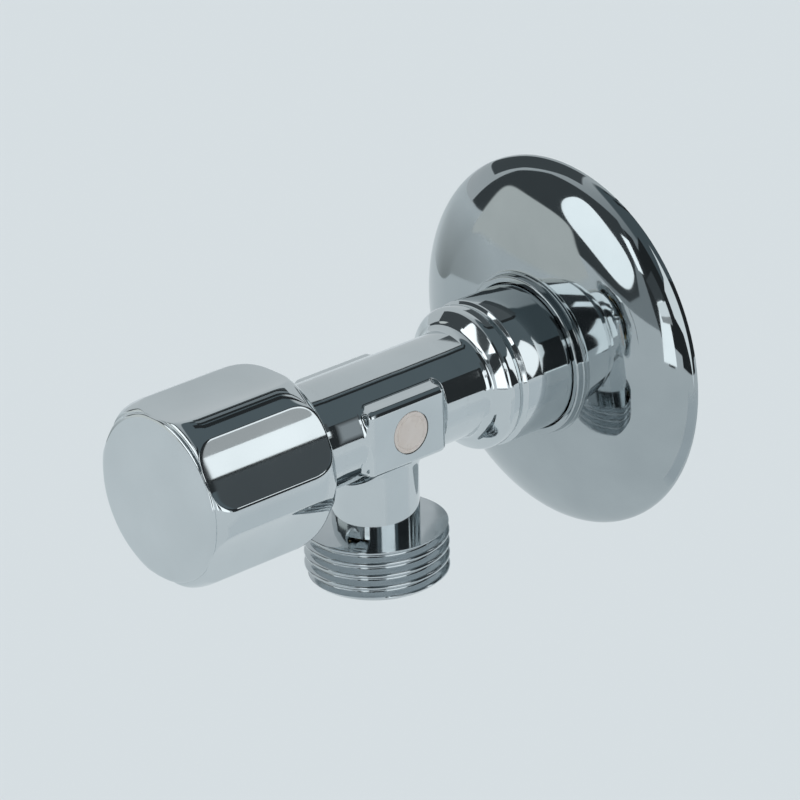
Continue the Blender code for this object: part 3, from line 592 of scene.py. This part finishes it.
def make_casting():
    """Middle of the body: tube, pads and outlet neck in one smooth skin, hollowed by its bores."""
    casting = bpy.data.objects.new("casting", casting_blank())
    bpy.context.collection.objects.link(casting)
    remesh = casting.modifiers.new("remesh", "REMESH")
    remesh.mode = "VOXEL"
    remesh.voxel_size = CASTING_VOXEL
    graph = bpy.context.evaluated_depsgraph_get()
    skin = bpy.data.meshes.new_from_object(casting.evaluated_get(graph))
    casting.modifiers.clear()
    points = settle(casting_field, mesh_points(skin))
    points[:, 1] = np.clip(points[:, 1], -CASTING_END, -CASTING_START)
    points[:, 2] = np.maximum(points[:, 2], -CASTING_BOTTOM)
    skin.vertices.foreach_set("co", (points * MM).ravel())
    skin.update()
    casting.data = skin
    carve(casting, "stem_bore", [
        (20.0, 0), (20.0, WATERWAY_R), (SEAT_FACE, WATERWAY_R), (SEAT_FACE, SEAT_R),
        (CHAMBER_START, SEAT_R), (CHAMBER_START, CHAMBER_R), (HOUSING_BORE_START, CHAMBER_R),
        (HOUSING_BORE_START, HOUSING_BORE_R), (52.0, HOUSING_BORE_R), (52.0, 0)], on_stem)
    carve(casting, "branch_bore", [
        (0.5, 0), (0.5, BRANCH_BORE_R), (19.0, BRANCH_BORE_R), (19.0, 0)], on_branch)
    recess_r = BADGE_R + BADGE_GAP
    carve(casting, "badge_recess", [(8.0, 0), (8.0, recess_r), (9.5, recess_r), (9.5, 0)], on_pad)
    mesh = casting.data
    mesh.name = "casting"
    mesh.shade_smooth()
    shade_by_field(mesh, casting_field)
    mesh.materials.clear()
    mesh.materials.append(MATERIALS["cast"])
    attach(casting, "valve")
    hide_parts("valve_body")


def make_badge():
    """Plain round inlay in the pad, with a shallow ring pressed into it."""
    floor, face = PAD_HALF_WIDTH - 0.45, PAD_HALF_WIDTH - 0.02
    outline = [(floor, 0), (floor, BADGE_R)]
    outline += arc(face - 0.12, BADGE_R - 0.12, 0.12, 90, 0, 5)
    groove = face - 0.06
    outline += [(face, 2.62), (groove, 2.56), (groove, 2.44), (face, 2.38), (face, 0)]
    points, faces = turned(outline, 96)
    shape_object("badge", points, faces, "valve", "side_badge", MATERIALS["badge"], on_pad)


def dome_point(turn):
    """Height and radius on the flange's skin. The turn is 0 where the rounding starts."""
    reach = FLANGE_R - FLANGE_ROUNDING_START_R
    radius = FLANGE_ROUNDING_START_R + reach * (turn if turn < 0 else math.sin(turn))
    rise = FLANGE_ROUNDING_RISE + (FLANGE_R ** 2 - radius ** 2) / (2 * FLANGE_CROWN_R)
    return FLANGE_RIM_EDGE + rise * math.cos(max(turn, 0.0)), radius


def dome_outline(start_r, inset):
    """Flange's skin from a radius out to the rim, moved in by the inset."""
    first = (start_r - FLANGE_ROUNDING_START_R) / (FLANGE_R - FLANGE_ROUNDING_START_R)
    nudge = math.radians(0.1)
    points = []
    quarter = math.pi / 2
    for turn in [*np.linspace(first, 0, 20)[:-1], *np.linspace(0, quarter, 70)]:
        height, radius = dome_point(turn)
        before, after = dome_point(turn - nudge), dome_point(min(turn + nudge, quarter))
        run = math.hypot(after[0] - before[0], after[1] - before[1])
        height -= inset * (after[1] - before[1]) / run
        points.append((height, radius - inset * (before[0] - after[0]) / run))
    return points


def make_flange():
    """Pressed wall flange with its rolled lip, round the sleeve."""
    fillet, lip_rounding = 0.6, 0.3
    outer = dome_outline(FLANGE_LIP_R + fillet, 0.0)
    inner = dome_outline(FLANGE_NECK_R + 0.1, FLANGE_WALL)
    foot = outer[0][0]
    outline = [(FLANGE_LIP_TOP, FLANGE_BORE_R - 0.04)]
    outline += arc(
        FLANGE_LIP_TOP - lip_rounding, FLANGE_LIP_R - lip_rounding, lip_rounding, 0, 90, 6)
    outline += arc(foot + fillet, FLANGE_LIP_R + fillet, fillet, 270, 180, 8)[:-1]
    outline += outer + [(0.0, FLANGE_R), (0.0, FLANGE_R - 1.0)] + inner[::-1][1:]
    start, end, groove_r = FLANGE_GROOVE
    outline += [(FLANGE_NECK_END, FLANGE_NECK_R), (FLANGE_NECK_END, FLANGE_BORE_R)]
    outline += [
        (start, FLANGE_BORE_R), (start, groove_r), (end, groove_r), (end, FLANGE_BORE_R)]
    mouth_r = FLANGE_BORE_R - 0.14
    outline += [(FLANGE_LIP_TOP - 0.5, mouth_r), (FLANGE_LIP_TOP - 0.1, mouth_r)]
    points, faces = turned(outline, 256)
    # The flange wears the darker chrome, which is painted shade.
    shape_object(
        "flange_shell", points, faces, "flange", "wall_flange", MATERIALS["flange"],
        sharp=40)


def knob_land(height):
    """Radius between the flutes: full in the middle, rounded off towards both ends."""
    if height < LAND_START:
        drop, along = LAND_R - REAR_R, (LAND_START - height) / (LAND_START - KNOB_START)
    elif height > LAND_END:
        drop, along = LAND_R - FACE_R, (height - LAND_END) / (KNOB_END - KNOB_EDGE - LAND_END)
    else:
        return LAND_R
    return LAND_R - drop * (1 - math.sqrt(max(0.0, 1 - min(along, 1.0) ** 2)))


def knob_radius(land, blend):
    """Radius by angle: the land or the flute, whichever is nearer, with a soft edge between."""

    def radius(angles):
        spacing = TAU / FLUTES
        off = (angles - FLUTE_FIRST + spacing / 2) % spacing - spacing / 2
        centre = FLUTE_R + FLUTE_BOTTOM_R
        flute = centre * np.cos(off) - np.sqrt(FLUTE_R ** 2 - (centre * np.sin(off)) ** 2)
        near = np.minimum(land, flute)
        return near - blend * np.log1p(np.exp(-np.abs(land - flute) / blend)) * 0.6

    return radius


def make_knob():
    """Fluted shell with a closed face, hollow at the back, with the grub screw's hole."""
    quarter = math.pi / 2
    rear = LAND_START - KNOB_START
    shoulder = KNOB_END - KNOB_EDGE - LAND_END
    heights = [
        *(KNOB_START + rear * (1 - np.cos(np.linspace(0.06, quarter, 44)))),
        *np.linspace(LAND_START, LAND_END, 24)[1:-1],
        *(LAND_END + shoulder * np.sin(np.linspace(0, quarter, 40))),
    ]
    outline = [(height, knob_radius(knob_land(height), 0.12)) for height in heights]
    for angle in np.linspace(0, quarter, 12)[1:]:
        land = FACE_R - 1.7 * KNOB_EDGE * (1 - math.cos(angle))
        height = KNOB_END - KNOB_EDGE + KNOB_EDGE * math.sin(angle)
        outline.append((height, knob_radius(land, 0.05)))
    outline += [(KNOB_END, 10.6), (KNOB_END, 6.0), (KNOB_END, 0)]
    outline += [
        (73.0, 0), (73.0, 7.1), (63.5, 7.1), (63.5, 9.8), (KNOB_START + 0.3, 9.8),
        (KNOB_START, 10.1)]
    points, faces = turned(outline, 720)
    knob = shape_object(
        "knob_shell", points, faces, "handle", "control_knob", MATERIALS["knob"],
        sharp=50)
    carve(knob, "grub_hole", [
        (6.5, 0), (6.5, GRUB_HOLE_R), (15.0, GRUB_HOLE_R), (15.0, 0)], on_grub)
    knob.data.set_sharp_from_angle(angle=math.radians(50))


# ---------------------------------------------------------------- studio

def emissive(name, colour, strength):
    """Glow that fades out where the mesh's edge attribute falls to 0."""
    made, nodes, links, shader = new_material(name)
    nodes.remove(shader)
    glow = add_node(nodes, "ShaderNodeEmission", Strength=strength)
    glow.inputs["Color"].default_value = (*colour, 1)
    clear = nodes.new("ShaderNodeBsdfTransparent")
    edge = nodes.new("ShaderNodeAttribute")
    edge.attribute_name = "edge"
    blend = nodes.new("ShaderNodeMixShader")
    links.new(edge.outputs["Fac"], blend.inputs["Fac"])
    links.new(clear.outputs["BSDF"], blend.inputs[1])
    links.new(glow.outputs["Emission"], blend.inputs[2])
    links.new(blend.outputs["Shader"], nodes["Material Output"].inputs["Surface"])
    return made


def aim(azimuth, elevation):
    """Unit vector towards a compass angle from +X to +Y and a height angle, in degrees."""
    a, e = math.radians(azimuth), math.radians(elevation)
    return Vector((math.cos(a) * math.cos(e), math.sin(a) * math.cos(e), math.sin(e)))


def place_panel(name, points, strength, colour, softness):
    """Glowing panel that only shows in reflections, fading towards its edge by its softness."""
    count = len(points)
    middle = sum(points, Vector()) / count
    rings = list(points) + [middle.lerp(point, 1 - softness) for point in points]
    faces = [tuple(range(count, 2 * count))]
    faces += [(i, (i + 1) % count, count + (i + 1) % count, count + i) for i in range(count)]
    mesh = bpy.data.meshes.new(name)
    mesh.from_pydata([tuple(point) for point in rings], [], faces)
    edge = mesh.attributes.new("edge", "FLOAT", "POINT")
    edge.data.foreach_set("value", [1.0 if softness < 0.01 else 0.0] * count + [1.0] * count)
    obj = bpy.data.objects.new(name, mesh)
    bpy.context.collection.objects.link(obj)
    mesh.materials.append(emissive(name, colour, strength))
    obj.visible_camera = False
    obj.visible_diffuse = False
    obj.visible_shadow = False


def panel(name, outline, distance, strength, colour=WHITE, softness=0.001):
    """Panel some metres away, its corners at the given (azimuth, elevation) from the valve."""
    corners = [aim(*corner) for corner in outline]
    centre = sum(corners, Vector()).normalized()
    points = [VALVE_MIDDLE + corner * (distance / corner.dot(centre)) for corner in corners]
    place_panel(name, points, strength, colour, softness)


def band(low, high, start, end):
    """Corners of a band along Y: turned from +X towards +Z by low to high, from Y start to end."""
    corners = []
    for turn, along in ((low, start), (low, end), (high, end), (high, start)):
        t = math.radians(turn)
        reach = math.sqrt(1 - along * along)
        azimuth = math.degrees(math.atan2(along, math.cos(t) * reach))
        corners.append((azimuth, math.degrees(math.asin(math.sin(t) * reach))))
    return corners


def card(name, distance, corners, strength, colour=WHITE, softness=0.04):
    """Panel some mm from the stem, its corners given as (turn from +X to +Z, mm along Y)."""
    points = []
    for turn, along in corners:
        t = math.radians(turn)
        points.append(Vector((distance * math.cos(t), along, distance * math.sin(t))) * MM)
    place_panel(name, points, strength, colour, softness)


def strip(low, high, start, end, steps=6):
    """Corners of a strip bent round the stem."""
    turns = [low + (high - low) * step / steps for step in range(steps + 1)]
    return [(turn, start) for turn in turns] + [(turn, end) for turn in reversed(turns)]


def oval(azimuth, elevation, half_width, half_height, tilt, steps=48, power=2.6):
    """Corners of an oval in degrees, the squarer the higher its power, with its axis tilted."""

    def swell(value):
        return math.copysign(abs(value) ** (2 / power), value)

    corners = []
    t = math.radians(tilt)
    widening = math.cos(math.radians(elevation))
    for step in range(steps):
        angle = TAU * step / steps
        across = half_width * swell(math.cos(angle))
        along = half_height * swell(math.sin(angle))
        corners.append((
            azimuth + (across * math.cos(t) - along * math.sin(t)) / widening,
            elevation + across * math.sin(t) + along * math.cos(t),
        ))
    return corners


def make_world():
    """Grey room: lighter on the left and behind, with a dark ceiling over the right side."""
    world = bpy.data.worlds.new("studio")
    bpy.context.scene.world = world
    world.use_nodes = True
    nodes, links = world.node_tree.nodes, world.node_tree.links
    coords = nodes.new("ShaderNodeTexCoord")

    def facing(direction, low, high):
        dot = add_node(nodes, "ShaderNodeVectorMath", operation="DOT_PRODUCT")
        dot.inputs[1].default_value = direction
        links.new(coords.outputs["Generated"], dot.inputs[0])
        return span(nodes, links, dot.outputs["Value"], 0.0, 1.0, low, high)

    def mix(factor, first, second):
        made = nodes.new("ShaderNodeMix")
        made.data_type = "RGBA"
        links.new(factor, made.inputs["Factor"])
        if isinstance(first, tuple):
            made.inputs[6].default_value = (*first, 1)
        else:
            links.new(first, made.inputs[6])
        made.inputs[7].default_value = (*second, 1)
        return made.outputs[2]

    room = mix(facing((-0.8, 0.5, 0.2), -0.3, 0.6), (0.30, 0.34, 0.36), (0.60, 0.64, 0.66))
    room = mix(facing((0.5, 0.1, 0.86), 0.66, 0.71), room, (0.105, 0.135, 0.15))
    links.new(room, nodes["Background"].inputs["Color"])


def make_floor():
    mesh = bpy.data.meshes.new("floor")
    bm = bmesh.new()
    bmesh.ops.create_grid(bm, x_segments=1, y_segments=1, size=FLOOR_SIZE)
    bm.to_mesh(mesh)
    bm.free()
    floor = bpy.data.objects.new("floor", mesh)
    floor.location = (0, 0, FLOOR_HEIGHT)
    bpy.context.collection.objects.link(floor)
    made, _, _, shader = new_material("pale_floor")
    shader.inputs["Base Color"].default_value = (*FLOOR_COLOUR, 1)
    shader.inputs["Roughness"].default_value = 1.0
    shader.inputs["Specular IOR Level"].default_value = 0.0
    mesh.materials.append(made)


def make_lamp():
    """Soft light from straight above, too wide to cast an edge."""
    light = bpy.data.lights.new("ceiling_light", "SUN")
    light.energy = LAMP_STRENGTH
    light.angle = LAMP_SPREAD
    lamp = bpy.data.objects.new("ceiling_light", light)
    lamp.location = (0, 0, 3.0)
    lamp.visible_glossy = False
    bpy.context.collection.objects.link(lamp)


def make_panels():
    """Far panels: name, corners, metres away, strength, colour, softness."""
    # Front side, seen in the flange and in what faces it.
    panel("front_flag", [
        (-166, 0), (-158, 22), (-145, 36), (-92, 46), (-84, 34), (-84, 8), (-92, 2), (-150, -2)],
        1.3, 0.085, DARK)
    panel("front_post", [(-88, 42), (-78, 42), (-60, -13), (-67, -13), (-75, 8)], 1.3, 0.05, DARK)
    panel("front_softbox", oval(-106, 21, 20, 11.5, -27), 1.0, 1.7)
    panel("front_panel", oval(-136.5, 2.0, 19, 13.5, 0, power=5.0), 1.1, 0.74,
          (0.95, 1.0, 0.985), 0.06)
    panel("front_strip", [(-91, 35), (-81, 21), (-77, 21), (-84, 36)], 1.0, 1.9)
    panel("front_shade", oval(-168, -24, 24, 22, 0), 1.4, 0.36, (0.88, 0.97, 0.98), 0.75)
    panel("rim_screen", [(-71, -12), (-67, 28), (-58, 30), (-57, -12)], 1.0, 1.7)
    # Side seen in the sleeve by way of the flange: dark above the floor's far edge.
    panel("side_flag", band(-7, 70, -0.84, -0.47), 1.0, 0.035, DARK)
    # Right side, seen in the tube, the sleeve and the knob.
    panel("right_screen", [(-28, -5.6), (-27, 30), (8, 27), (8, -5.6)], 1.0, 1.5)
    panel("right_flag", band(-7, 39, 0.25, 0.92), 1.0, 0.035, DARK)
    panel("right_beam", band(88, 93, 0.2, 0.92), 1.0, 0.03, DARK)
    panel("left_beam", band(97.5, 100.5, 0.2, 0.92), 1.0, 0.06, DARK)


def make_cards():
    """Cards close to the stem, each beside the stretch of it that reflects them."""
    beside_tube, beside_knob = (-52.5, -27), (-70, -48)
    card("knob_grey", 45, strip(18.4, 22.3, *beside_tube), 0.50)
    card("knob_softbox", 45, strip(22.3, 30.3, *beside_tube), 1.3)
    card("knob_shade", 45, strip(31, 46, *beside_tube), 0.10, DARK)
    card("knob_line_low", 20, strip(73.5, 75.5, *beside_knob), 0.03, DARK)
    card("knob_gap", 20, strip(75.5, 78, *beside_knob), 0.24, DARK)
    card("knob_line_high", 20, strip(78, 80.5, *beside_knob), 0.03, DARK)
    card("knob_flag", 20, strip(80.5, 83.5, *beside_knob), 0.11, DARK)
    card("stem_flag", 45, strip(-1, 38, -21, 9.6), 0.035, DARK)
    bell = [(-1, -0.5), (50, -0.5), (44, -1.5), (38, -3), (34, -6), (24, -6), (18, -3), (8, -1.5)]
    card("sleeve_softbox", 32, bell, 1.3)
    card("sleeve_shade", 32, strip(-42, -1.5, -5, 2), 0.66, COOL, 0.3)
    card("tube_shade", 20, strip(2, 38, -41.5, -35.5), 0.34, COOL, 0.45)
    card("sleeve_cap", 32, strip(83, 128, -5, 2), 0.11, DARK)
    # Light patch under the valve's right side, seen in the undersides.
    patch = [(-20, -22), (20, -16), (60, -14), (62, -50), (20, -55), (-20, -50)]
    panel("right_floor", patch, 0.16, 0.70, (0.89, 0.98, 1.03), 0.35)


def make_camera():
    """The photo's viewpoint, found from the outlines of the flange, knob and outlet."""
    data = bpy.data.cameras.new("photo_view")
    data.lens = 197.6
    data.sensor_width = 36.0
    data.clip_end = 50.0
    camera = bpy.data.objects.new("photo_view", data)
    right = Vector((0.66499, 0.74642, -0.02540))
    up = Vector((-0.29472, 0.29351, 0.90938))
    back = Vector((0.68623, -0.59725, 0.41517))
    turn = Matrix((right, up, back)).transposed().to_4x4()
    camera.matrix_world = Matrix.Translation((0.42766, -0.40392, 0.25923)) @ turn
    bpy.context.collection.objects.link(camera)
    bpy.context.scene.camera = camera


dress_carried_nodes()
make_sleeve()
make_tube_end()
make_threads()
make_casting()
make_badge()
make_flange()
make_knob()
make_world()
make_floor()
make_lamp()
make_panels()
make_cards()
make_camera()

bpy.context.scene.view_settings.view_transform = "Standard"
